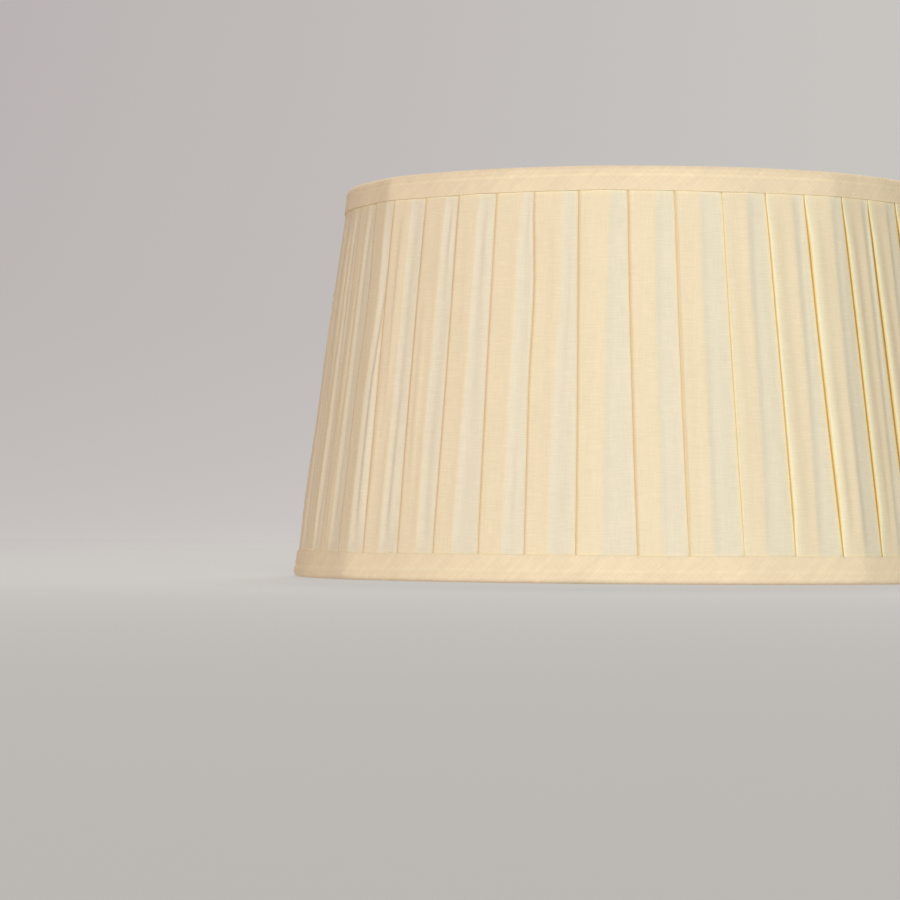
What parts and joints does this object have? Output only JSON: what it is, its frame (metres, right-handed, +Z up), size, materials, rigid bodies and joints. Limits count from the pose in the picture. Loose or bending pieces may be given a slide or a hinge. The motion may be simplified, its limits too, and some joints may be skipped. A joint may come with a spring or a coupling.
{
  "type": "lamp shade",
  "caption": "Knife-pleated cream cloth lamp shade, a shallow empire shape with folded trims, on a wire frame with a reversible gimbal fitter and reducer ring.",
  "frame": {"origin": "centre of the shade's axis on the plane of its lower rim, at rest on a table", "axes": "+Z up along the shade's axis to the narrow rim; +X along the gimbal's pivot line; +Y to the back"},
  "size_m": [0.3554, 0.3554, 0.196],
  "materials": {
    "cover_cloth": "plain-weave cream cotton with fine slubs, pressed into knife pleats",
    "trim_cloth": "the cover's cream cotton cut on the bias and folded",
    "lining_cloth": "light plain-weave off-white cotton lining",
    "tape_cloth": "narrow woven cotton tape, unbleached",
    "frame_wire": "thin off-white powder coat on steel wire, satin",
    "gimbal_steel": "zinc-plated steel wire and stamped ring, satin",
    "reducer_plastic": "moulded white plastic, fine matt texture"
  },
  "bodies": {
    "shade": {"top_ring": "frame_wire", "bottom_ring": "frame_wire", "strut_1": "frame_wire", "strut_2": "frame_wire", "strut_3": "frame_wire", "strut_4": "frame_wire", "strut_5": "frame_wire", "strut_6": "frame_wire", "strut_7": "frame_wire", "strut_8": "frame_wire", "top_ring_tape": "tape_cloth", "bottom_ring_tape": "tape_cloth", "pivot_lug_right": "frame_wire", "pivot_lug_left": "frame_wire", "lining": "lining_cloth", "neatener_right": "trim_cloth", "neatener_left": "trim_cloth", "pleated_cover": "cover_cloth", "top_trim": "trim_cloth", "bottom_trim": "trim_cloth"},
    "gimbal": {"gimbal_arm_right": "gimbal_steel", "gimbal_arm_left": "gimbal_steel", "fitter_ring": "gimbal_steel", "reducer_ring": "reducer_plastic"}
  },
  "joints": [
    {"name": "gimbal_flip", "type": "hinge", "parent": "shade", "child": "gimbal", "pos_m": [0, 0, 0.108], "axis": [1, 0, 0], "continuous": true}
  ]
}
